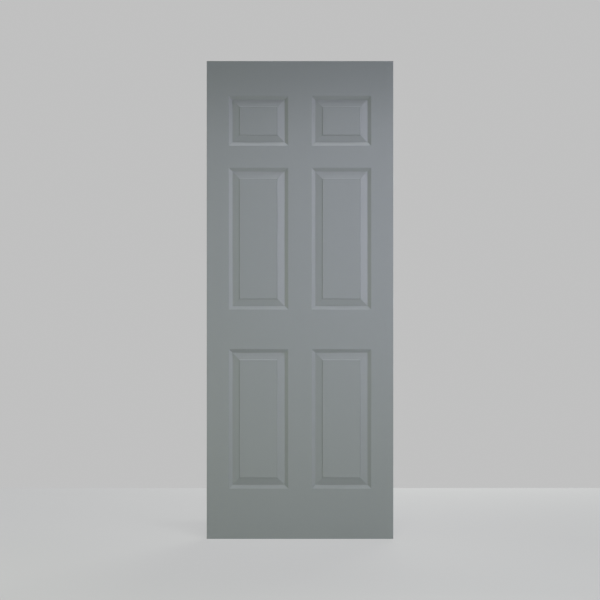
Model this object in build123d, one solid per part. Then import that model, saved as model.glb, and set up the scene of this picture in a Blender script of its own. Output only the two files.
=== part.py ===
"""A six-panel front door leaf of pressed steel over a timber frame, as it leaves the factory.

The leaf is a blank: it has no frame, hinges, lock or bored holes, and it can be hung on either edge.
Two sheet-steel skins carry the six pressed panels. Each skin is folded round the long edges and hooked
into a kerf in the timber stiles. Stiles, rails and two lock blocks make a frame inside, stapled at its
corners, and insulating foam fills what is left, so it bears on the back of every pressing.

Frame: X across the leaf, Y through it with the outer face towards -Y, Z up.
The origin is at the middle of the bottom edge. All sizes are in millimetres.
"""

import os

from build123d import *

# The leaf
door_width = 820.0
door_height = 2100.0
door_thickness = 44.0

# Flat bands of the face, between the sharp edges of the pressings
side_band = 97.0
centre_band = 103.0
top_band = 153.0
frieze_band = 97.0
lock_band = 174.0
bottom_band = 221.0
upper_panel_height = 219.0
middle_over_lower = 10.0  # how much taller the middle panels are than the lower ones

# Steel skins
sheet = 0.7
edge_bend = 0.9  # inside of the fold along the long edges
hook_bend = 0.5  # inside of the fold into the kerf
return_depth = 9.0  # how far a skin wraps round the edge
tab_length = 5.0  # how far its end hooks into the stile

# Pressed moulding, going in from a panel's sharp edge
land = 3.0  # flat sheet that each pressing keeps at both its rims
ogee_width = 15.5
groove_depth = 9.4
groove_flat = 1.5
bevel_width = 28.2
bevel_rise = 5.8
shoulder_width = 3.0
shoulder_rise = 3.2
rim_radius = 3.0
groove_radius = 1.5
foot_radius = 0.8
shoulder_bend = 0.6  # inside of the bend at the field's edge

# Timber frame
stile_width = 38.0
top_rail_height = 38.0
bottom_rail_height = 64.0
kerf_clearance = 0.3  # round the hooked end of a skin
lock_block_length = 400.0
block_setback = 2.0  # from the sharp edge of the panels to a lock block

# Two kerfs along the bottom edge that take a draught sweep
sweep_kerf_width = 3.0
sweep_kerf_depth = 12.0
sweep_kerf_spacing = 22.0

# Flat-wire staples that hold the frame's corners
staple_span = 24.0
staple_leg = 15.0
staple_width = 1.6
staple_wire = 1.2
staple_bend = 0.8  # inside of the bends
staple_point = 2.0  # length of the chisel points

# What follows from those sizes
half_width = door_width / 2
half_thickness = door_thickness / 2
half_core = half_thickness - sheet
stile_inner = half_width - stile_width
panel_width = (door_width - 2 * side_band - centre_band) / 2
panel_centre = (centre_band + panel_width) / 2
bands = top_band + frieze_band + lock_band + bottom_band
tall_panels = door_height - bands - upper_panel_height
lower_panel_height = (tall_panels - middle_over_lower) / 2
middle_panel_height = lower_panel_height + middle_over_lower

lower_panel_foot = bottom_band
middle_panel_foot = lower_panel_foot + lower_panel_height + lock_band
upper_panel_foot = middle_panel_foot + middle_panel_height + frieze_band
lock_height = middle_panel_foot - lock_band / 2
panel_rows = [
    (lower_panel_foot, lower_panel_height),
    (middle_panel_foot, middle_panel_height),
    (upper_panel_foot, upper_panel_height),
]
panel_places = [
    (side * panel_centre, foot, height) for foot, height in panel_rows for side in (-1, 1)
]

field_inset = ogee_width + groove_flat + bevel_width + shoulder_width
field_depth = groove_depth - bevel_rise - shoulder_rise

staple_heights = {
    "top": door_height - top_rail_height / 2,
    "bottom": (sweep_kerf_depth + bottom_rail_height) / 2,
}
staple_corners = [
    (level, side, face)
    for level in staple_heights
    for side in ("left", "right")
    for face in ("outer", "inner")
]


def block(x_range, y_range, z_range):
    """A plain box between three pairs of coordinates."""
    (x0, x1), (y0, y1), (z0, z1) = x_range, y_range, z_range
    return Pos((x0 + x1) / 2, (y0 + y1) / 2, (z0 + z1) / 2) * Box(x1 - x0, y1 - y0, z1 - z0)


def mirrored(shape):
    """The same shape on the inner face of the leaf."""
    return mirror(shape, about=Plane.XZ)


def moulding_line():
    """Outside of the pressed moulding: X runs from a panel's sharp edge inwards, Y into the leaf."""
    groove_end = ogee_width + groove_flat
    bevel_top = groove_depth - bevel_rise
    line = FilletPolyline(
        (-land, 0),
        (0, 0),
        (ogee_width, groove_depth),
        (groove_end, groove_depth),
        (groove_end + bevel_width, bevel_top),
        (field_inset, field_depth),
        (field_inset + land, field_depth),
        radius=[rim_radius, groove_radius, groove_radius, foot_radius, shoulder_bend + sheet],
    )
    return line.wire()


def moulding_strip():
    """Section through the sheet of the moulding, with the same thickness all along."""
    return Face(moulding_line().offset_2d(sheet, side=Side.LEFT, closed=True))


def moulding_hollow():
    """Section of everything between the plane of the face and the back of the moulding."""
    back = moulding_line().offset_2d(sheet, side=Side.LEFT, closed=False)
    inner_rim = field_inset + land
    front = Polyline((inner_rim, field_depth + sheet), (inner_rim, 0), (-land, 0), (-land, sheet))
    return -Face(Wire(back.edges() + front.edges()))


def mitred_ring(section, width, height):
    """Sweeps a moulding section round a rectangle that is centred on the origin in X and Z."""
    x, z = width / 2, height / 2
    path = Polyline((0, 0, -z), (x, 0, -z), (x, 0, z), (-x, 0, z), (-x, 0, -z), (0, 0, -z))
    start = Plane(origin=(0, 0, -z), x_dir=(0, 0, 1), z_dir=(-1, 0, 0))
    return sweep(start * section, path=path.wire(), transition=Transition.RIGHT)


def panel_spot(x, foot, height):
    """Where a panel's middle lies on the plane of the outer face."""
    return Pos(x, -half_thickness, foot + height / 2)


def field_plate(height, front, back):
    """The flat middle of a panel between two depths, out to the inner rim of its moulding."""
    x = panel_width / 2 - field_inset - land
    z = height / 2 - field_inset - land
    return block((-x, x), (front, back), (-z, z))


def pressed_panel(height):
    """One pressed panel of the outer skin: the mitred moulding and the raised field inside it."""
    moulding = mitred_ring(moulding_strip(), panel_width, height)
    return moulding + field_plate(height, field_depth, field_depth + sheet)


def pressing_hollow(height):
    """All the space from the plane of the face to the back of one pressing."""
    moulding = mitred_ring(moulding_hollow(), panel_width, height)
    return moulding + field_plate(height, 0, field_depth + sheet)


def folded_sheet():
    """The outer skin before its panels are pressed, folded round both long edges."""
    y_hook = return_depth - half_thickness
    tab_end = half_width - tab_length
    outside = FilletPolyline(
        (tab_end, y_hook),
        (half_width, y_hook),
        (half_width, -half_thickness),
        (-half_width, -half_thickness),
        (-half_width, y_hook),
        (-tab_end, y_hook),
        radius=[hook_bend + sheet, edge_bend + sheet, edge_bend + sheet, hook_bend + sheet],
    )
    section = Face(outside.wire().offset_2d(sheet, side=Side.RIGHT, closed=True))
    return extrude(section, door_height, dir=(0, 0, 1))


def pressed_skin():
    """The outer skin: a folded sheet with six pressed panels, all one piece."""
    skin = folded_sheet()
    panels = {height: pressed_panel(height) for _, height in panel_rows}
    for x, foot, height in panel_places:
        reach = panel_width / 2 + land
        skin -= block(
            (x - reach, x + reach),
            (-half_thickness, -half_core),
            (foot - land, foot + height + land),
        )
        skin += panel_spot(x, foot, height) * panels[height]
    return skin


def stile_section():
    """The right-hand stile in plan, rebated for the returns of both skins and kerfed for their hooks."""
    y_hook = half_thickness - return_depth
    kerf_end = half_width - tab_length - kerf_clearance
    rebate = half_width - sheet
    edge = [
        (half_width, y_hook - kerf_clearance),
        (kerf_end, y_hook - kerf_clearance),
        (kerf_end, y_hook + sheet),
        (rebate, y_hook + sheet),
        (rebate, half_core),
    ]
    radii = [0, 0, 0, hook_bend, edge_bend]
    back = [(stile_inner, half_core), (stile_inner, -half_core)]
    other_edge = [(x, -y) for x, y in reversed(edge)]
    outline = FilletPolyline(
        *edge, *back, *other_edge, radius=[*radii, 0, 0, *reversed(radii)], close=True
    )
    return Face(outline.wire())


def sweep_kerfs():
    """Two grooves along the whole bottom edge, open downwards."""
    centres = (-sweep_kerf_spacing / 2, sweep_kerf_spacing / 2)
    return [
        block(
            (-half_width, half_width),
            (y - sweep_kerf_width / 2, y + sweep_kerf_width / 2),
            (0, sweep_kerf_depth),
        )
        for y in centres
    ]


def corner_staple(level, side, face, crown_radius):
    """A staple across a corner joint, with its crown flush with the timber."""
    x, wire = staple_span / 2, staple_wire
    outline = FilletPolyline(
        (-x, staple_point - staple_leg),
        (-x, 0),
        (x, 0),
        (x, staple_point - staple_leg),
        (x - wire, -staple_leg),
        (x - wire, -wire),
        (wire - x, -wire),
        (wire - x, -staple_leg),
        radius=[0, crown_radius, crown_radius, 0, 0, staple_bend, staple_bend, 0],
        close=True,
    )
    staple = extrude(Face(outline.wire()), staple_width / 2, both=True)
    x_joint = -stile_inner if side == "left" else stile_inner
    placed = Pos(x_joint, half_core, staple_heights[level]) * staple
    return mirrored(placed) if face == "outer" else placed


def timber_frame():
    """Stiles and rails of the frame by name, with slots for their staples."""
    depth = (-half_core, half_core)
    rail = (-stile_inner, stile_inner)
    stile = extrude(stile_section(), door_height, dir=(0, 0, 1)) - sweep_kerfs()
    pieces = {
        "left_stile": mirror(stile, about=Plane.YZ),
        "right_stile": stile,
        "top_rail": block(rail, depth, (door_height - top_rail_height, door_height)),
        "bottom_rail": block(rail, depth, (0, bottom_rail_height)) - sweep_kerfs(),
    }
    for level, side, face in staple_corners:
        slot = corner_staple(level, side, face, crown_radius=0)
        for name in (f"{side}_stile", f"{level}_rail"):
            pieces[name] -= slot
    return pieces


def lock_block():
    """The timber block glued to the right-hand stile, which a lock can be bored through."""
    reach = lock_block_length / 2
    return block(
        (half_width - side_band + block_setback, stile_inner),
        (-half_core, half_core),
        (lock_height - reach, lock_height + reach),
    )


def foam_core(lock_blocks):
    """The foam that fills the frame and bears on the back of both skins."""
    core = block(
        (-stile_inner, stile_inner),
        (-half_core, half_core),
        (bottom_rail_height, door_height - top_rail_height),
    )
    for lock_piece in lock_blocks:
        core -= lock_piece
    hollows = {height: pressing_hollow(height) for _, height in panel_rows}
    for x, foot, height in panel_places:
        hollow = panel_spot(x, foot, height) * hollows[height]
        core -= hollow
        core -= mirrored(hollow)
    return core


def door_leaf():
    """Every piece of the leaf by name."""
    outer_skin = pressed_skin()
    right_lock_block = lock_block()
    lock_blocks = {
        "left_lock_block": mirror(right_lock_block, about=Plane.YZ),
        "right_lock_block": right_lock_block,
    }
    staples = {
        f"staple_{level}_{side}_{face}": corner_staple(
            level, side, face, crown_radius=staple_bend + staple_wire
        )
        for level, side, face in staple_corners
    }
    return {
        "outer_skin": outer_skin,
        "inner_skin": mirrored(outer_skin),
        **timber_frame(),
        **lock_blocks,
        "foam_core": foam_core(lock_blocks.values()),
        **staples,
    }


def main():
    """Writes one STEP file for each piece."""
    os.makedirs("parts", exist_ok=True)
    for name, piece in door_leaf().items():
        export_step(piece, f"parts/{name}.step")


if __name__ == "__main__":
    main()
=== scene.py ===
"""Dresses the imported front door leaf: pressed steel skins, bare timber edges, and a pale studio."""

import logging
import math
from dataclasses import dataclass, field, fields
from enum import Enum
from typing import Any

import bmesh
import bpy
from mathutils import Matrix, Vector

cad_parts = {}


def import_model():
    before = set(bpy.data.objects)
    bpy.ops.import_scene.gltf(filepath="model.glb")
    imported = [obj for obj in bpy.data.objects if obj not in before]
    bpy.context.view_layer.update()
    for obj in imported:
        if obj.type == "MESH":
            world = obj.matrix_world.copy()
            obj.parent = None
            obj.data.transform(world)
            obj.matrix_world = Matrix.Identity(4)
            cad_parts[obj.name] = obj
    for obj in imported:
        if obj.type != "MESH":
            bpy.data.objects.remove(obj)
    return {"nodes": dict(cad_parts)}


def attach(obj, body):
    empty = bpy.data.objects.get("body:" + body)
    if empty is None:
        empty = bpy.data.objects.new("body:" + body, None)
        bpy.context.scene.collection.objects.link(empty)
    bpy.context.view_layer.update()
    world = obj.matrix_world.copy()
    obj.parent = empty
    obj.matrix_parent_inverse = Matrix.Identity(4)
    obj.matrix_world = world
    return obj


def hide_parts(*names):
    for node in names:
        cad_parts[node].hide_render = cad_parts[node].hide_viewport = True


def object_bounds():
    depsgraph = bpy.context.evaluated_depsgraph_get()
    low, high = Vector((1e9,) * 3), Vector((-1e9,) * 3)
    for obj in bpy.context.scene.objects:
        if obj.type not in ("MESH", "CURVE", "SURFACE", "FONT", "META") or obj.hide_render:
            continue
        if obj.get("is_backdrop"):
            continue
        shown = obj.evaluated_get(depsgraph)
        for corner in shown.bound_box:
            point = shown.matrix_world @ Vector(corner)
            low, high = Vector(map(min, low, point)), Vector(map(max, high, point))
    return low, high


BODY = "root"
MM = 0.001

log = logging.getLogger("door_leaf")

Colour = tuple[float, float, float]
Point = tuple[float, float, float]


def placed(name: str, data: bpy.types.ID) -> bpy.types.Object:
    """Puts some data in the scene.

    Args:
        name: The new object's name.
        data: A mesh, or a camera's or a lamp's data.

    Returns:
        The new object, at the origin.
    """
    thing = bpy.data.objects.new(name, data)
    bpy.context.scene.collection.objects.link(thing)
    return thing


def modified_mesh(thing: bpy.types.Object) -> bpy.types.Mesh:
    """Turns what an object's modifiers make into a plain mesh.

    Args:
        thing: An object with modifiers.

    Returns:
        A new mesh.
    """
    evaluated = thing.evaluated_get(bpy.context.evaluated_depsgraph_get())
    return bpy.data.meshes.new_from_object(evaluated)


class Signal:
    """A node's output, which Python expressions can add to, scale and compare."""

    def __init__(self, graph: "Graph", socket: bpy.types.NodeSocket) -> None:
        """Wraps one output socket.

        Args:
            graph: The tree that the socket is in.
            socket: The output.
        """
        self.graph = graph
        self.socket = socket

    def _math(self, operation: str, *values: "Signal | float") -> "Signal":
        """Adds one Math node.

        Args:
            operation: The Math node's operation.
            values: Its inputs in order, numbers or signals.

        Returns:
            The node's value.
        """
        sockets = dict(enumerate(values))
        return self.graph.add("ShaderNodeMath", {"operation": operation}, sockets)["Value"]

    def __add__(self, other: "Signal | float") -> "Signal":
        """Self plus other."""
        return self._math("ADD", self, other)

    def __radd__(self, other: "Signal | float") -> "Signal":
        """Other plus self."""
        return self._math("ADD", other, self)

    def __sub__(self, other: "Signal | float") -> "Signal":
        """Self minus other."""
        return self._math("SUBTRACT", self, other)

    def __rsub__(self, other: "Signal | float") -> "Signal":
        """Other minus self."""
        return self._math("SUBTRACT", other, self)

    def __mul__(self, other: "Signal | float") -> "Signal":
        """Self times other."""
        return self._math("MULTIPLY", self, other)

    def __rmul__(self, other: "Signal | float") -> "Signal":
        """Other times self."""
        return self._math("MULTIPLY", other, self)

    def __truediv__(self, other: "Signal | float") -> "Signal":
        """Self over other."""
        return self._math("DIVIDE", self, other)

    def __neg__(self) -> "Signal":
        """Minus self."""
        return self._math("MULTIPLY", self, -1.0)

    def __pow__(self, other: "Signal | float") -> "Signal":
        """Self to a power."""
        return self._math("POWER", self, other)

    def __gt__(self, other: "Signal | float") -> "Signal":
        """1 where self is greater, and 0 elsewhere."""
        return self._math("GREATER_THAN", self, other)

    def magnitude(self) -> "Signal":
        """The size of the number without its sign."""
        return self._math("ABSOLUTE", self)

    def floor(self) -> "Signal":
        """The whole number below."""
        return self._math("FLOOR", self)

    def zigzag(self, height: float) -> "Signal":
        """Runs up to height and down to 0 again, like a saw's teeth that lean both ways."""
        return self._math("PINGPONG", self, height)


class Made:
    """A new node's outputs by name."""

    def __init__(self, graph: "Graph", node: bpy.types.Node) -> None:
        """Keeps the node.

        Args:
            graph: The tree that the node is in.
            node: The node.
        """
        self.graph = graph
        self.node = node

    def __getitem__(self, name: str) -> Signal:
        """The output of that name which is in use."""
        socket = next(s for s in self.node.outputs if s.name == name and s.enabled)
        return Signal(self.graph, socket)


class Graph:
    """A node tree and the one way in which nodes are added to it."""

    def __init__(self, tree: bpy.types.NodeTree) -> None:
        """Wraps a tree.

        Args:
            tree: A shader, world or geometry tree.
        """
        self.tree = tree

    def add(self, kind: str, settings: dict[str, Any] | None = None,
            sockets: dict[str | int, Any] | None = None) -> Made:
        """Adds a node, makes its settings and then fills its inputs.

        Args:
            kind: The node's type.
            settings: Properties by name, with an index switch's number of items as "items".
            sockets: Values or signals by the input's name or number, with a list of signals for
                an input that takes several.

        Returns:
            The node's outputs.
        """
        node = self.tree.nodes.new(kind)
        for name, value in (settings or {}).items():
            if name == "items":
                while len(node.index_switch_items) < value:
                    node.index_switch_items.new()
            else:
                setattr(node, name, value)
        for key, value in (sockets or {}).items():
            socket = self._input(node, key)
            if isinstance(value, (Signal, list)):
                for signal in value if isinstance(value, list) else [value]:
                    self.tree.links.new(signal.socket, socket)
            else:
                socket.default_value = value
        return Made(self, node)

    @staticmethod
    def _input(node: bpy.types.Node, key: str | int) -> bpy.types.NodeSocket:
        """Finds an input by number, or by name among those in use.

        Args:
            node: The node.
            key: The input's number or name.

        Returns:
            The input.
        """
        if isinstance(key, int):
            return node.inputs[key]
        return next(s for s in node.inputs if s.name == key and s.enabled)

    def mix(self, factor: Signal, first: Signal | Colour, second: Signal | Colour) -> Signal:
        """Blends two colours.

        Args:
            factor: 0 for the first and 1 for the second.
            first: A colour or a signal.
            second: A colour or a signal.

        Returns:
            The blended colour.
        """
        first, second = (c if isinstance(c, Signal) else (*c, 1.0) for c in (first, second))
        sockets = {"Factor": factor, "A": first, "B": second}
        return self.add("ShaderNodeMix", {"data_type": "RGBA"}, sockets)["Result"]

    def noise(self, vector: Signal, scale: float, detail: float) -> Signal:
        """Adds a noise texture.

        Args:
            vector: Where it is read.
            scale: Features per metre.
            detail: Number of finer layers.

        Returns:
            Values about 0.5.
        """
        sockets = {"Vector": vector, "Scale": scale, "Detail": detail}
        return self.add("ShaderNodeTexNoise", {}, sockets)["Fac"]

    def drawn_noise(self, vector: Signal, density: Point, detail: float) -> Signal:
        """Adds a noise texture whose features are longer one way than another.

        Args:
            vector: Where it is read.
            density: Features per metre along each axis.
            detail: Number of finer layers.

        Returns:
            Values about 0.5.
        """
        sockets = {"Vector": vector, "Scale": density}
        return self.noise(self.add("ShaderNodeMapping", {}, sockets)["Vector"], 1.0, detail)

    def combine(self, **parts: Signal | float) -> Signal:
        """A vector from its parts X, Y and Z, where one that isn't given is 0."""
        return self.add("ShaderNodeCombineXYZ", {}, parts)["Vector"]

    def is_seen(self) -> Signal:
        """1 on what the camera, reflections and glass show, and 0 on what only gives light."""
        ray = self.add("ShaderNodeLightPath")
        return ray["Is Camera Ray"] + ray["Is Glossy Ray"] + ray["Is Transmission Ray"]


class Grain(Enum):
    """Which way a piece of timber was cut, as the turn that lays its length along Z."""

    UPRIGHT = (0.0, 0.0, 0.0)
    ACROSS = (0.0, math.pi / 2, 0.0)


class Face(Enum):
    """The two faces of the leaf."""

    OUTER = "outer"
    INNER = "inner"


class Finish:
    """A procedural finish. Each subclass holds its sizes and colours and builds its shader."""

    name: str

    def material(self) -> bpy.types.Material:
        """Makes the material.

        Returns:
            A new material with this finish.
        """
        material = bpy.data.materials.new(self.name)
        material.use_nodes = True
        material.node_tree.nodes.clear()
        graph = Graph(material.node_tree)
        place = graph.add("ShaderNodeTexCoord")["Object"]
        shader = self.shader(graph, place)
        graph.add("ShaderNodeOutputMaterial", {}, {"Surface": shader})
        return material

    def shader(self, graph: Graph, place: Signal) -> Signal:
        """Builds the finish's nodes.

        Args:
            graph: The material's tree.
            place: Object coordinates in metres.

        Returns:
            The surface shader.
        """
        raise NotImplementedError

    @staticmethod
    def surface(graph: Graph, colour: Signal, roughness: Signal | float, height: Signal,
                depth: float, metallic: float = 0.0) -> Signal:
        """Makes a Principled surface with a bump.

        Args:
            graph: The material's tree.
            colour: The base colour.
            roughness: The roughness.
            height: The bump's height, between 0 and 1.
            depth: What a height of 1 stands for, in metres.
            metallic: 1 for bare metal.

        Returns:
            The surface shader.
        """
        bump = {"Height": height, "Distance": depth, "Strength": 1.0}
        normal = graph.add("ShaderNodeBump", {}, bump)["Normal"]
        return graph.add("ShaderNodeBsdfPrincipled", {}, {
            "Base Color": colour,
            "Metallic": metallic,
            "Roughness": roughness,
            "Normal": normal,
        })["BSDF"]

    @staticmethod
    def glow(graph: Graph, colour: Colour) -> Signal:
        """An even tone that no lamp changes."""
        return graph.add("ShaderNodeEmission", {}, {"Color": (*colour, 1.0)})["Emission"]

    @staticmethod
    def one_sided(graph: Graph, front: Signal) -> Signal:
        """Makes a surface clear from behind.

        Args:
            graph: The material's tree.
            front: The shader seen from the front.

        Returns:
            The mixed shader.
        """
        clear = graph.add("ShaderNodeBsdfTransparent")["BSDF"]
        behind = graph.add("ShaderNodeNewGeometry")["Backfacing"]
        return graph.add("ShaderNodeMixShader", {}, {0: behind, 1: front, 2: clear})["Shader"]


@dataclass(frozen=True)
class SatinPaint(Finish):
    """Smooth sprayed paint on pressed steel, with the faint ripple that spraying leaves."""

    name: str = "satin_grey_paint"
    colour: Colour = (0.231, 0.251, 0.258)
    cloud_colour: Colour = (0.241, 0.260, 0.266)
    roughness: float = 0.46
    roughness_spread: float = 0.08
    cloud_scale: float = 2.3
    ripple_scale: float = 420.0
    ripple_depth: float = 0.012 * MM
    flow_scale: float = 60.0
    flow_depth: float = 0.02 * MM

    def shader(self, graph: Graph, place: Signal) -> Signal:
        """Builds the paint.

        Args:
            graph: The material's tree.
            place: Object coordinates in metres.

        Returns:
            The surface shader.
        """
        cloud = graph.noise(place, self.cloud_scale, detail=3.0)
        ripple = graph.noise(place, self.ripple_scale, detail=1.0)
        flow = graph.noise(place, self.flow_scale, detail=2.0)
        colour = graph.mix(cloud, self.colour, self.cloud_colour)
        relief = ripple * self.ripple_depth + flow * self.flow_depth
        depth = self.ripple_depth + self.flow_depth
        roughness = self.roughness + (flow - 0.5) * self.roughness_spread
        return self.surface(graph, colour, roughness, relief / depth, depth)


@dataclass(frozen=True)
class Softwood(Finish):
    """Planed pine with year rings, made of finger-jointed sticks of slightly different tones.

    The rings run about a heart, given across the stick and through the leaf, which moves a little
    from stick to stick. Sticks where X is above 0 are shifted along their length, so that a left
    and a right piece differ.
    """

    name: str
    grain: Grain
    heart: tuple[float, float] = (0.352, -0.062)
    heart_spread: tuple[float, float] = (30.0 * MM, 50.0 * MM)
    early_wood: Colour = (0.66, 0.46, 0.26)
    late_wood: Colour = (0.46, 0.27, 0.12)
    pale_stick: Colour = (0.72, 0.54, 0.33)
    ring_width: float = 3.4 * MM
    ring_contrast: float = 0.85
    bend_density: Point = (6.0, 6.0, 0.9)
    bend_reach: float = 20.0 * MM
    stick_length: float = 0.46
    side_shift: float = 0.17
    stick_contrast: float = 0.45
    finger_length: float = 9.0 * MM
    finger_pitch: float = 4.2 * MM
    glue_line: float = 0.25 * MM
    glue_contrast: float = 0.6
    fibre_density: Point = (900.0, 900.0, 14.0)
    fibre_level: float = 0.35
    fibre_contrast: float = 0.35
    roughness: float = 0.62
    fibre_roughness: float = 0.14
    pore_depth: float = 0.06 * MM
    ring_relief: float = 0.4

    def shader(self, graph: Graph, place: Signal) -> Signal:
        """Builds the timber.

        Args:
            graph: The material's tree.
            place: Object coordinates in metres.

        Returns:
            The surface shader.
        """
        turned = graph.add(
            "ShaderNodeMapping", {}, {"Vector": place, "Rotation": self.grain.value}
        )["Vector"]
        axes = graph.add("ShaderNodeSeparateXYZ", {}, {"Vector": turned})
        x, y, z = axes["X"], axes["Y"], axes["Z"]
        half_pitch = self.finger_pitch / 2
        fingers = (y.zigzag(half_pitch) / half_pitch - 0.5) * self.finger_length
        along = (z + (x > 0) * self.side_shift + fingers) / self.stick_length
        stick = along.floor()
        glue = (along - stick - 0.5).magnitude() > 0.5 - self.glue_line / self.stick_length
        tone = graph.add(
            "ShaderNodeTexWhiteNoise", {"noise_dimensions": "1D"}, {"W": stick}
        )["Value"]
        late = self._late_wood(graph, turned, x.magnitude(), y, tone)
        fibre = graph.drawn_noise(turned, self.fibre_density, detail=3.0)
        wood = graph.mix(late * self.ring_contrast, self.early_wood, self.late_wood)
        wood = graph.mix(tone * self.stick_contrast, wood, self.pale_stick)
        streaks = (fibre - self.fibre_level) * self.fibre_contrast
        wood = graph.mix(streaks, wood, self.late_wood)
        wood = graph.mix(glue * self.glue_contrast, wood, self.late_wood)
        relief = late * self.ring_relief + fibre * (1.0 - self.ring_relief)
        roughness = self.roughness + fibre * self.fibre_roughness
        return self.surface(graph, wood, roughness, relief, self.pore_depth)

    def _late_wood(self, graph: Graph, turned: Signal, x: Signal, y: Signal,
                   tone: Signal) -> Signal:
        """Draws the year rings about each stick's own heart.

        Args:
            graph: The material's tree.
            turned: Coordinates with the stick's length along Z.
            x: Distance across the stick from the origin, without a sign.
            y: Distance through the leaf from its middle plane, more towards the inner face.
            tone: The stick's own number between 0 and 1.

        Returns:
            0 in early wood, rising to 1 at the end of each ring.
        """
        bend = graph.drawn_noise(turned, self.bend_density, detail=2.0)
        spread_x, spread_y = self.heart_spread
        across_x = x + (bend - 0.5) * self.bend_reach - self.heart[0] + tone * spread_x
        across_y = y - self.heart[1] - tone * spread_y
        ring = (across_x * across_x + across_y * across_y) ** 0.5 / self.ring_width
        phase = ring - ring.floor()
        return phase * phase * phase


@dataclass(frozen=True)
class Composite(Finish):
    """Extruded wood and plastic composite with pale fibres in it."""

    name: str = "wood_plastic_composite"
    body: Colour = (0.19, 0.165, 0.135)
    fibre: Colour = (0.40, 0.34, 0.26)
    fleck_density: Point = (260.0, 900.0, 900.0)
    fleck_level: float = 0.58
    fleck_contrast: float = 0.8
    line_density: Point = (3.0, 700.0, 700.0)
    line_relief: float = 0.7
    relief_depth: float = 0.05 * MM
    roughness: float = 0.7
    fleck_gloss: float = 0.15

    def shader(self, graph: Graph, place: Signal) -> Signal:
        """Builds the composite.

        Args:
            graph: The material's tree.
            place: Object coordinates in metres.

        Returns:
            The surface shader.
        """
        flecks = graph.drawn_noise(place, self.fleck_density, detail=3.0)
        lines = graph.drawn_noise(place, self.line_density, detail=1.0)
        fleck_mask = (flecks > self.fleck_level) * self.fleck_contrast
        colour = graph.mix(fleck_mask, self.body, self.fibre)
        roughness = self.roughness - fleck_mask * self.fleck_gloss
        relief = lines * self.line_relief + flecks * (1.0 - self.line_relief)
        return self.surface(graph, colour, roughness, relief, self.relief_depth)


@dataclass(frozen=True)
class RigidFoam(Finish):
    """Cut polyurethane foam with fine open cells, whose pores get a darker tone as painted shade."""

    name: str = "rigid_foam"
    wall: Colour = (0.83, 0.76, 0.56)
    cell: Colour = (0.62, 0.53, 0.33)
    cell_scale: float = 1100.0
    cell_depth: float = 0.3 * MM
    cell_contrast: float = 0.8
    cloud_scale: float = 14.0
    cloud_contrast: float = 0.4
    roughness: float = 0.85

    def shader(self, graph: Graph, place: Signal) -> Signal:
        """Builds the foam.

        Args:
            graph: The material's tree.
            place: Object coordinates in metres.

        Returns:
            The surface shader.
        """
        cells = graph.add(
            "ShaderNodeTexVoronoi", {}, {"Vector": place, "Scale": self.cell_scale}
        )["Distance"]
        cloud = graph.noise(place, self.cloud_scale, detail=3.0)
        # The darker colour goes where the bump is lowest: painted shade in the pores, with a random
        # cloud on top.
        shade = cells * self.cell_contrast + (cloud - 0.5) * self.cloud_contrast
        colour = graph.mix(shade, self.wall, self.cell)
        return self.surface(graph, colour, self.roughness, 1 - cells, self.cell_depth)


@dataclass(frozen=True)
class GalvanisedWire(Finish):
    """Drawn steel wire with a dull zinc coat."""

    name: str = "galvanised_wire"
    zinc: Colour = (0.62, 0.63, 0.64)
    dull: Colour = (0.44, 0.45, 0.47)
    blotch_scale: float = 900.0
    blotch_depth: float = 0.01 * MM
    roughness: float = 0.32
    blotch_roughness: float = 0.2

    def shader(self, graph: Graph, place: Signal) -> Signal:
        """Builds the wire's coat.

        Args:
            graph: The material's tree.
            place: Object coordinates in metres.

        Returns:
            The surface shader.
        """
        blotches = graph.noise(place, self.blotch_scale, detail=3.0)
        colour = graph.mix(blotches, self.zinc, self.dull)
        roughness = self.roughness + blotches * self.blotch_roughness
        return self.surface(graph, colour, roughness, blotches, self.blotch_depth, metallic=1.0)


@dataclass(frozen=True)
class StagePaint(Finish):
    """Plain matt paint for the floor, which isn't seen from below.

    Part of what the camera and reflections see of it is an even tone, so that it looks plain and
    pale and still takes the leaf's shadow.
    """

    name: str
    colour: Colour
    tone: Colour
    tone_share: float

    def shader(self, graph: Graph, place: Signal) -> Signal:
        """Builds the paint.

        Args:
            graph: The material's tree.
            place: Object coordinates in metres, which the plain paint doesn't use.

        Returns:
            The surface shader.
        """
        matt = graph.add("ShaderNodeBsdfDiffuse", {}, {"Color": (*self.colour, 1.0)})["BSDF"]
        even = self.glow(graph, self.tone)
        share = graph.is_seen() * self.tone_share
        front = graph.add("ShaderNodeMixShader", {}, {0: share, 1: matt, 2: even})["Shader"]
        return self.one_sided(graph, front)


@dataclass(frozen=True)
class StageGlow(Finish):
    """An even tone for the backdrop, which isn't seen from behind and on which no lamp shows."""

    name: str
    tone: Colour

    def shader(self, graph: Graph, place: Signal) -> Signal:
        """Builds the tone, which is the same at every place."""
        return self.one_sided(graph, self.glow(graph, self.tone))


@dataclass(frozen=True)
class Moulding:
    """Sizes of the pressed moulding, going in from a panel's sharp edge."""

    land: float = 3.0 * MM
    ogee_width: float = 15.5 * MM
    groove_depth: float = 9.4 * MM
    groove_flat: float = 1.5 * MM
    bevel_width: float = 28.2 * MM
    bevel_rise: float = 5.8 * MM
    shoulder_width: float = 3.0 * MM
    shoulder_rise: float = 3.2 * MM
    rim_radius: float = 3.0 * MM
    groove_radius: float = 1.5 * MM
    foot_radius: float = 0.8 * MM
    shoulder_radius: float = 1.3 * MM

    def labelled(self) -> dict[str, float]:
        """The sizes by the label of their input in a tree."""
        return {f.name.replace("_", " ").title(): getattr(self, f.name) for f in fields(self)}


@dataclass(frozen=True)
class PanelRow:
    """Two panels side by side: where their lower edge is and how tall they are."""

    foot: float
    height: float


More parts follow.
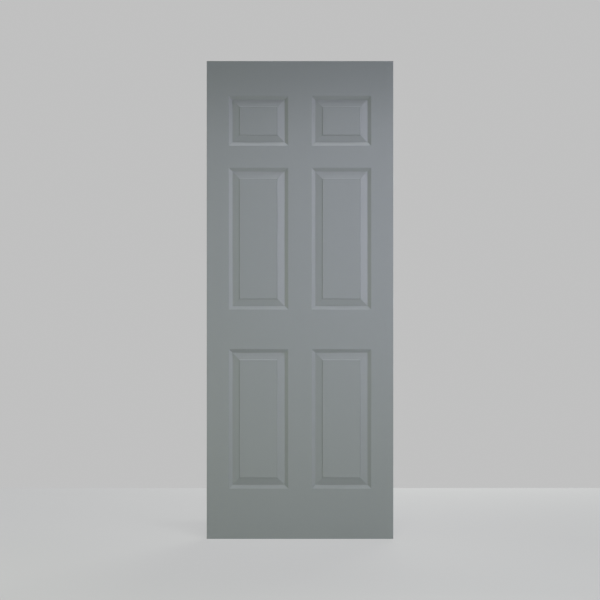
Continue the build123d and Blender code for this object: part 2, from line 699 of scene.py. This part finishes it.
class PressingTrees:
    """Geometry Nodes that press the panels of a skin."""

    NUMBER = "NodeSocketFloat"
    FILLET_STEPS = 6
    WELD = 0.02 * MM

    def __init__(self, moulding: Moulding) -> None:
        """Builds the tree of one panel.

        Args:
            moulding: The sizes that become the trees' default inputs.
        """
        self.moulding = moulding.labelled()
        self.panel = self._panel_tree()

    def _open_tree(self, name: str, inputs: dict[str, float | str]) -> tuple[Graph, Made]:
        """Starts a tree with named inputs and a geometry output.

        Args:
            name: The tree's name.
            inputs: A default number, or a socket type, by the input's name.

        Returns:
            The tree and its group input.
        """
        tree = bpy.data.node_groups.new(name, "GeometryNodeTree")
        tree.interface.new_socket("Geometry", in_out="OUTPUT", socket_type="NodeSocketGeometry")
        for label, value in inputs.items():
            kind = value if isinstance(value, str) else self.NUMBER
            socket = tree.interface.new_socket(label, in_out="INPUT", socket_type=kind)
            if not isinstance(value, str):
                socket.default_value = value
        graph = Graph(tree)
        return graph, graph.add("NodeGroupInput")

    def _profile(self, graph: Graph, size: Made) -> tuple[Signal, Signal, Signal]:
        """Draws the moulding's section, with X out from the panel's edge and Y into the leaf.

        Args:
            graph: The panel's tree.
            size: The tree's inputs.

        Returns:
            The section's curve, how far in it ends, and how deep it ends.
        """
        land, ogee, groove = size["Land"], size["Ogee Width"], size["Groove Depth"]
        groove_end = ogee + size["Groove Flat"]
        bevel_end = groove_end + size["Bevel Width"]
        inset = bevel_end + size["Shoulder Width"]
        foot = groove - size["Bevel Rise"]
        depth = foot - size["Shoulder Rise"]
        corners = [
            (-land, 0.0, 0.0),
            (0.0, 0.0, size["Rim Radius"]),
            (ogee, groove, size["Groove Radius"]),
            (groove_end, groove, size["Groove Radius"]),
            (bevel_end, foot, size["Foot Radius"]),
            (inset, depth, size["Shoulder Radius"]),
            (inset + land, depth, 0.0),
        ]
        places = [graph.combine(X=-across, Y=down) for across, down, _ in corners]
        place = self._by_index(graph, "VECTOR", places)
        radius = self._by_index(graph, "FLOAT", [radius for _, _, radius in corners])
        line = graph.add("GeometryNodeMeshLine", {}, {"Count": len(corners)})["Mesh"]
        line = graph.add(
            "GeometryNodeSetPosition", {}, {"Geometry": line, "Position": place}
        )["Geometry"]
        curve = graph.add("GeometryNodeMeshToCurve", {}, {"Mesh": line})["Curve"]
        curve = graph.add("GeometryNodeFilletCurve", {"mode": "POLY"}, {
            "Curve": curve,
            "Count": self.FILLET_STEPS,
            "Radius": radius,
            "Limit Radius": False,
        })["Curve"]
        return curve, inset + land, depth

    @staticmethod
    def _by_index(graph: Graph, data_type: str, values: list[Signal | float]) -> Signal:
        """Gives each point of a line its own value.

        Args:
            graph: The line's tree.
            data_type: The values' type.
            values: One value for each point in order.

        Returns:
            The value at a point.
        """
        index = graph.add("GeometryNodeInputIndex")["Index"]
        settings = {"data_type": data_type, "items": len(values)}
        sockets = {"Index": index, **{str(i): value for i, value in enumerate(values)}}
        return graph.add("GeometryNodeIndexSwitch", settings, sockets)["Output"]

    def _panel_tree(self) -> bpy.types.NodeTree:
        """Builds the tree that makes one pressed panel, centred on the origin in X and Z.

        Returns:
            The tree.
        """
        inputs = {"Width": self.NUMBER, "Height": self.NUMBER, **self.moulding}
        graph, size = self._open_tree("pressed_panel", inputs)
        width, height = size["Width"], size["Height"]
        profile, inset, depth = self._profile(graph, size)
        # The section stands at the path's corners, where a mitre makes it wider by the root of 2.
        profile = graph.add(
            "GeometryNodeTransform", {}, {"Geometry": profile, "Scale": (math.sqrt(2), 1.0, 1.0)}
        )["Geometry"]
        path = graph.add(
            "GeometryNodeCurvePrimitiveQuadrilateral", {}, {"Width": width, "Height": height}
        )["Curve"]
        ring = graph.add(
            "GeometryNodeCurveToMesh", {}, {"Curve": path, "Profile Curve": profile}
        )["Mesh"]
        ring = graph.add("GeometryNodeFlipFaces", {}, {"Mesh": ring})["Mesh"]
        plate = graph.add("GeometryNodeMeshGrid", {}, {
            "Size X": width - 2.0 * inset,
            "Size Y": height - 2.0 * inset,
            "Vertices X": 2,
            "Vertices Y": 2,
        })["Mesh"]
        plate = graph.add(
            "GeometryNodeTransform", {}, {"Geometry": plate, "Translation": graph.combine(Z=-depth)}
        )["Geometry"]
        panel = graph.add("GeometryNodeJoinGeometry", {}, {"Geometry": [ring, plate]})["Geometry"]
        upright = graph.add(
            "GeometryNodeTransform", {}, {"Geometry": panel, "Rotation": (math.pi / 2, 0.0, 0.0)}
        )["Geometry"]
        graph.add("NodeGroupOutput", {}, {"Geometry": upright})
        return graph.tree

    def skin_tree(self, rows: list[PanelRow]) -> bpy.types.NodeTree:
        """Builds the tree that presses rows of panels into a skin's openings.

        Args:
            rows: The rows, whose sizes become the defaults of the tree's inputs.

        Returns:
            The tree.
        """
        row_inputs = {}
        for number, row in enumerate(rows, 1):
            row_inputs[f"Row {number} Foot"] = row.foot
            row_inputs[f"Row {number} Height"] = row.height
        graph, size = self._open_tree("pressed_skin", {
            "Sheet": "NodeSocketGeometry",
            "Finish": "NodeSocketMaterial",
            "Panel Width": self.NUMBER,
            "Panel Centre": self.NUMBER,
            "Face Plane": self.NUMBER,
            **row_inputs,
            **self.moulding,
        })
        shared = {label: size[label] for label in self.moulding}
        pair = graph.add("GeometryNodeMeshLine", {}, {
            "Count": 2,
            "Start Location": graph.combine(X=-size["Panel Centre"]),
            "Offset": graph.combine(X=2.0 * size["Panel Centre"]),
        })["Mesh"]
        parts = [size["Sheet"]]
        for number in range(1, len(rows) + 1):
            foot, height = size[f"Row {number} Foot"], size[f"Row {number} Height"]
            sizes = {"Width": size["Panel Width"], "Height": height, **shared}
            panel = graph.add("GeometryNodeGroup", {"node_tree": self.panel}, sizes)["Geometry"]
            panels = graph.add(
                "GeometryNodeInstanceOnPoints", {}, {"Points": pair, "Instance": panel}
            )["Instances"]
            parts.append(graph.add("GeometryNodeTransform", {}, {
                "Geometry": panels,
                "Translation": graph.combine(Y=size["Face Plane"], Z=foot + height / 2.0),
            })["Geometry"])
        joined = graph.add("GeometryNodeJoinGeometry", {}, {"Geometry": parts})["Geometry"]
        real = graph.add("GeometryNodeRealizeInstances", {}, {"Geometry": joined})["Geometry"]
        welded = graph.add(
            "GeometryNodeMergeByDistance", {}, {"Geometry": real, "Distance": self.WELD}
        )["Geometry"]
        smooth = graph.add(
            "GeometryNodeSetShadeSmooth", {"domain": "FACE"}, {"Geometry": welded}
        )["Geometry"]
        mitred = graph.add("GeometryNodeSetShadeSmooth", {"domain": "EDGE"}, {
            "Geometry": smooth,
            "Selection": self._on_mitre(graph),
            "Shade Smooth": False,
        })["Geometry"]
        dressed = graph.add(
            "GeometryNodeSetMaterial", {}, {"Geometry": mitred, "Material": size["Finish"]}
        )["Geometry"]
        graph.add("NodeGroupOutput", {}, {"Geometry": dressed})
        return graph.tree

    def _on_mitre(self, graph: Graph) -> Signal:
        """Picks the edges that run both across and up, which only a mitre's do.

        Args:
            graph: The skin's tree.

        Returns:
            1 on those edges.
        """
        ends = graph.add("GeometryNodeInputMeshEdgeVertices")
        gap = graph.add("ShaderNodeVectorMath", {"operation": "SUBTRACT"}, {
            0: ends["Position 1"],
            1: ends["Position 2"],
        })["Vector"]
        parts = graph.add("ShaderNodeSeparateXYZ", {}, {"Vector": gap})
        across = parts["X"].magnitude() > self.WELD
        up = parts["Z"].magnitude() > self.WELD
        return across * up


@dataclass
class PressedSkins:
    """Both steel skins: folded sheets with six pressed panels each."""

    WELD = PressingTrees.WELD
    WALL_INWARDS = -1.0
    NORMALS_BY_AREA_ONLY = 100

    half_width: float
    half_thickness: float
    height: float
    moulding: Moulding
    finish: bpy.types.Material
    side_band: float = 97.0 * MM
    centre_band: float = 103.0 * MM
    top_band: float = 153.0 * MM
    frieze_band: float = 97.0 * MM
    lock_band: float = 174.0 * MM
    bottom_band: float = 221.0 * MM
    upper_panel_height: float = 219.0 * MM
    middle_over_lower: float = 10.0 * MM
    sheet: float = 0.7 * MM
    edge_bend: float = 0.9 * MM
    hook_bend: float = 0.5 * MM
    return_depth: float = 9.0 * MM
    tab_length: float = 5.0 * MM
    bend_steps: int = 6

    @property
    def panel_width(self) -> float:
        """Width of a panel between its sharp edges."""
        return self.half_width - self.side_band - self.centre_band / 2

    @property
    def panel_centre(self) -> float:
        """How far a panel's middle is from the leaf's."""
        return (self.centre_band + self.panel_width) / 2

    def rows(self) -> list[PanelRow]:
        """Shares the height out among the bands and panels.

        Returns:
            The rows of panels from the bottom up.
        """
        bands = self.top_band + self.frieze_band + self.lock_band + self.bottom_band
        tall = self.height - bands - self.upper_panel_height
        lower = (tall - self.middle_over_lower) / 2
        middle = lower + self.middle_over_lower
        middle_foot = self.bottom_band + lower + self.lock_band
        return [
            PanelRow(self.bottom_band, lower),
            PanelRow(middle_foot, middle),
            PanelRow(middle_foot + middle + self.frieze_band, self.upper_panel_height),
        ]

    def _bend(self, centre: tuple[float, float], radius: float, start: float) -> list[Vector]:
        """Draws a quarter bend, from an angle in degrees on by 90.

        Args:
            centre: Its middle in plan.
            radius: Its outside radius.
            start: The angle of its first point.

        Returns:
            Its points in order.
        """
        x, y = centre
        steps = self.bend_steps
        turns = [math.radians(start + 90.0 * i / steps) for i in range(steps + 1)]
        return [Vector((x + radius * math.cos(t), y + radius * math.sin(t))) for t in turns]

    def _plan(self) -> list[Vector]:
        """Draws the outside of the folded sheet in plan.

        Returns:
            Its points from the left hook round the outer face to the right hook.
        """
        x, y = self.half_width, -self.half_thickness
        edge, hook = self.edge_bend + self.sheet, self.hook_bend + self.sheet
        y_hook = y + self.return_depth
        left = [Vector((self.tab_length - x, y_hook))]
        left += self._bend((hook - x, y_hook - hook), hook, 90.0)
        left += self._bend((edge - x, y + edge), edge, 180.0)
        right = [Vector((-p.x, p.y)) for p in reversed(left)]
        reach = self.panel_width / 2 + self.moulding.land
        breaks = [side * self.panel_centre + end for side in (-1, 1) for end in (-reach, reach)]
        return left + [Vector((b, y)) for b in breaks] + right

    def _levels(self) -> list[float]:
        """Finds the heights at which the sheet is divided.

        Returns:
            The heights of its ends and of every opening's edges, from the floor up.
        """
        land = self.moulding.land
        levels = [0.0, self.height]
        for row in self.rows():
            levels += [row.foot - land, row.foot + row.height + land]
        return sorted(levels)

    def _folded_sheet(self) -> bpy.types.Mesh:
        """Makes the outside of the outer skin with an opening for every panel.

        Returns:
            An open mesh whose faces point outwards.
        """
        plan, levels = self._plan(), self._levels()
        middles = [
            (side * self.panel_centre, row.foot + row.height / 2)
            for side in (-1, 1)
            for row in self.rows()
        ]
        made = bmesh.new()
        grid = [[made.verts.new((p.x, p.y, z)) for p in plan] for z in levels]
        for low, high, span in zip(grid, grid[1:], zip(levels, levels[1:])):
            for i, (p, q) in enumerate(zip(plan, plan[1:])):
                middle = ((p.x + q.x) / 2, sum(span) / 2)
                if all(math.dist(middle, other) > self.WELD for other in middles):
                    made.faces.new((low[i], low[i + 1], high[i + 1], high[i]))
        mesh = bpy.data.meshes.new("folded_sheet")
        made.to_mesh(mesh)
        made.free()
        return mesh

    def _pressed(self) -> bpy.types.Mesh:
        """Presses the panels into the folded sheet.

        Returns:
            The outside of the outer skin, one welded open shell.
        """
        blank = placed("sheet_blank", self._folded_sheet())
        tree = PressingTrees(self.moulding).skin_tree(self.rows())
        modifier = blank.modifiers.new("press", "NODES")
        modifier.node_group = tree
        values = {
            "Finish": self.finish,
            "Panel Width": self.panel_width,
            "Panel Centre": self.panel_centre,
            "Face Plane": -self.half_thickness,
        }
        for item in tree.interface.items_tree:
            if item.in_out == "INPUT" and item.name in values:
                modifier[item.identifier] = values[item.name]
        shell = modified_mesh(blank)
        bpy.data.objects.remove(blank)
        return shell

    def _walled(self, name: str, shell: bpy.types.Mesh) -> bpy.types.Object:
        """Gives a shell its sheet thickness and clean shading.

        Args:
            name: The finished piece's name.
            shell: An open mesh whose faces point outwards.

        Returns:
            The finished piece.
        """
        piece = placed(name, shell)
        wall = piece.modifiers.new("wall", "SOLIDIFY")
        wall.thickness = self.sheet
        wall.offset = self.WALL_INWARDS
        wall.use_even_offset = True
        shade = piece.modifiers.new("shade", "WEIGHTED_NORMAL")
        shade.mode = "FACE_AREA"
        shade.weight = self.NORMALS_BY_AREA_ONLY
        shade.keep_sharp = True
        mesh = modified_mesh(piece)
        piece.modifiers.clear()
        piece.data = mesh
        mesh.name = name
        return piece

    def build(self) -> list[bpy.types.Object]:
        """Returns:
            The outer and the inner skin.
        """
        outer = self._pressed()
        inner = outer.copy()
        mirror = Matrix.Diagonal((1.0, -1.0, 1.0, 1.0))
        inner.transform(mirror)
        inner.flip_normals()
        pieces = []
        for face, shell in ((Face.OUTER, outer), (Face.INNER, inner)):
            piece = self._walled(f"{face.value}_skin_pressed", shell)
            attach(piece, BODY)
            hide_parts(f"{face.value}_skin")
            pieces.append(piece)
        return pieces


@dataclass
class FoamCore:
    """The foam filling, as one closed mesh merged from its solid's loose triangles."""

    node: bpy.types.Object
    finish: bpy.types.Material
    merge_distance: float = 0.002 * MM

    def build(self) -> bpy.types.Object:
        """Returns:
            The finished piece.
        """
        made = bmesh.new()
        made.from_mesh(self.node.data)
        made.transform(self.node.matrix_world)
        bmesh.ops.remove_doubles(made, verts=made.verts, dist=self.merge_distance)
        for face in made.faces:
            face.smooth = False
        mesh = bpy.data.meshes.new("foam_filling")
        made.to_mesh(mesh)
        made.free()
        mesh.materials.append(self.finish)
        piece = placed(mesh.name, mesh)
        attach(piece, BODY)
        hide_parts("foam_core")
        return piece


@dataclass
class TimberFrame:
    """Finishes for the pieces inside the skins, whose solids are shown as they are."""

    nodes: dict[str, bpy.types.Object]
    stiles: tuple[str, ...] = ("left_stile", "right_stile")
    lock_blocks: tuple[str, ...] = ("left_lock_block", "right_lock_block")

    def dress(self) -> list[bpy.types.Object]:
        """Gives each piece its material.

        Returns:
            The dressed pieces.
        """
        stile = Softwood("stile_pine", Grain.UPRIGHT)
        block = Softwood("block_pine", Grain.UPRIGHT, heart=(0.29, 0.075), side_shift=0.31)
        rail = Softwood("rail_pine", Grain.ACROSS, heart=(2.035, 0.03))
        staples = [name for name in self.nodes if name.startswith("staple_")]
        finishes = {
            **dict.fromkeys(self.stiles, stile.material()),
            **dict.fromkeys(self.lock_blocks, block.material()),
            "top_rail": rail.material(),
            **dict.fromkeys(staples, GalvanisedWire().material()),
            "bottom_rail": Composite().material(),
        }
        for name, material in finishes.items():
            for slot in self.nodes[name].material_slots:
                slot.material = material
        return [self.nodes[name] for name in finishes]


@dataclass
class Lamp:
    """A soft rectangular lamp that faces the leaf's upright middle line.

    Its spread is in degrees, and its aim is the height that it faces.
    """

    name: str
    place: Point
    size: tuple[float, float]
    watts: float
    colour: Colour
    spread: float = 180.0
    aim_height: float = 1.05

    def light(self) -> None:
        """Makes the lamp."""
        data = bpy.data.lights.new(self.name, "AREA")
        data.shape = "RECTANGLE"
        data.size, data.size_y = self.size
        data.energy = self.watts
        data.color = self.colour
        data.spread = math.radians(self.spread)
        lamp = placed(self.name, data)
        lamp.location = self.place
        aim = Vector((0.0, 0.0, self.aim_height)) - Vector(self.place)
        lamp.rotation_euler = aim.to_track_quat("-Z", "Y").to_euler()
        lamp.visible_camera = False


@dataclass
class Studio:
    """The camera, the floor and backdrop, and plain soft light."""

    leaf_height: float
    face_plane: float
    lens: float = 85.0
    sensor: float = 36.0
    frame_height: float = 2.6368
    floor_reach: float = 14.0
    floor_colour: Colour = (0.54, 0.55, 0.52)
    floor_tone: Colour = (0.60, 0.60, 0.615)
    floor_tone_share: float = 0.7
    wall_distance: float = 1.665
    wall_height: float = 9.0
    wall_tone: Colour = (0.53, 0.53, 0.53)
    world_colour: Colour = (0.08, 0.082, 0.08)
    background: Colour = (0.56, 0.56, 0.57)
    lamps: list[Lamp] = field(default_factory=lambda: [
        Lamp("window", (1.6, -2.4, 1.4), (1.4, 1.6), 18.4, (0.9, 0.933, 1.0)),
        Lamp("high_window", (1.6, -2.4, 1.7), (1.4, 1.6), 2.8, (0.82, 0.76, 1.0),
             spread=50.0, aim_height=1.35),
        Lamp("side_beam", (1.609, -0.929, 1.16), (0.8, 2.181), 0.98, (0.97, 1.0, 0.93),
             spread=24.0, aim_height=0.765),
        Lamp("front_beam", (0.0, -1.386, 1.565), (1.7, 1.931), 1.16, (0.957, 0.905, 1.0),
             spread=24.0, aim_height=0.765),
        Lamp("left_fill", (-2.2, -1.4, 1.1), (1.2, 1.6), 13.2, (0.923, 1.0, 0.71)),
        Lamp("low_fill", (0.0, -1.6, 0.15), (2.0, 0.6), 3.65, (0.918, 1.0, 0.773)),
        Lamp("overhead_strip", (0.6, -3.4, 17.0), (3.0, 0.9), 865.0, (0.97, 1.0, 1.0)),
        Lamp("behind", (1.2, 3.6, 1.8), (2.2, 2.2), 128.0, (0.98, 1.0, 0.99)),
    ])

    def _camera(self) -> None:
        """Makes a camera square to the outer face that sees it at the photograph's scale."""
        data = bpy.data.cameras.new("camera")
        data.lens = self.lens
        data.sensor_width = self.sensor
        camera = placed("camera", data)
        distance = self.frame_height * self.lens / self.sensor
        camera.location = (0.0, self.face_plane - distance, self.leaf_height / 2)
        camera.rotation_euler = (math.pi / 2, 0.0, 0.0)
        bpy.context.scene.camera = camera

    @staticmethod
    def _sheet(name: str, corners: list[Point], paint: Finish) -> bpy.types.Object:
        """Makes one flat sheet of the stage.

        Args:
            name: Its name.
            corners: Its four corners in order.
            paint: Its finish.

        Returns:
            The sheet.
        """
        mesh = bpy.data.meshes.new(name)
        mesh.from_pydata(corners, [], [list(range(len(corners)))])
        mesh.materials.append(paint.material())
        sheet = placed(name, mesh)
        sheet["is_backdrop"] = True
        return sheet

    def _stage(self) -> None:
        """Lays the floor and stands the backdrop behind the leaf."""
        reach, back, high = self.floor_reach, self.wall_distance, self.wall_height
        square = [(-reach, -reach), (reach, -reach), (reach, reach), (-reach, reach)]
        upright = [(-reach, 0.0), (reach, 0.0), (reach, high), (-reach, high)]
        self._sheet(
            "floor",
            [(x, y, 0.0) for x, y in square],
            StagePaint("floor_paint", self.floor_colour, self.floor_tone, self.floor_tone_share),
        )
        wall = self._sheet(
            "backdrop",
            [(x, back, z) for x, z in upright],
            StageGlow("backdrop_tone", self.wall_tone),
        )
        wall.visible_diffuse = False
        wall.visible_glossy = False
        wall.visible_transmission = False
        wall.visible_shadow = False

    def _world(self) -> None:
        """Gives the room an even light and a pale background."""
        world = bpy.data.worlds.new("studio")
        bpy.context.scene.world = world
        world.use_nodes = True
        world.node_tree.nodes.clear()
        graph = Graph(world.node_tree)
        colour = graph.mix(graph.is_seen(), self.world_colour, self.background)
        light = graph.add("ShaderNodeBackground", {}, {"Color": colour, "Strength": 1.0})
        graph.add("ShaderNodeOutputWorld", {}, {"Surface": light["Background"]})

    def build(self) -> None:
        """Sets up everything around the leaf."""
        self._camera()
        self._stage()
        self._world()
        for lamp in self.lamps:
            lamp.light()
        bpy.context.scene.view_settings.view_transform = "Standard"


def main() -> None:
    """Sets up the studio, makes and dresses the leaf's pieces, and reports each piece."""
    logging.basicConfig(level=logging.INFO, format="%(name)s %(message)s")
    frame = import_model()
    cad_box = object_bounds()
    low, high = cad_box
    nodes = frame["nodes"]
    Studio(leaf_height=high.z, face_plane=low.y).build()
    pieces = PressedSkins(
        half_width=high.x,
        half_thickness=high.y,
        height=high.z,
        moulding=Moulding(),
        finish=SatinPaint().material(),
    ).build()
    pieces.append(FoamCore(nodes["foam_core"], RigidFoam().material()).build())
    pieces += TimberFrame(nodes).dress()
    for piece in pieces:
        finishes = [slot.name for slot in piece.material_slots if slot.material]
        log.info("%s: %d faces, %s", piece.name, len(piece.data.polygons), *finishes)


if __name__ == "__main__":
    main()
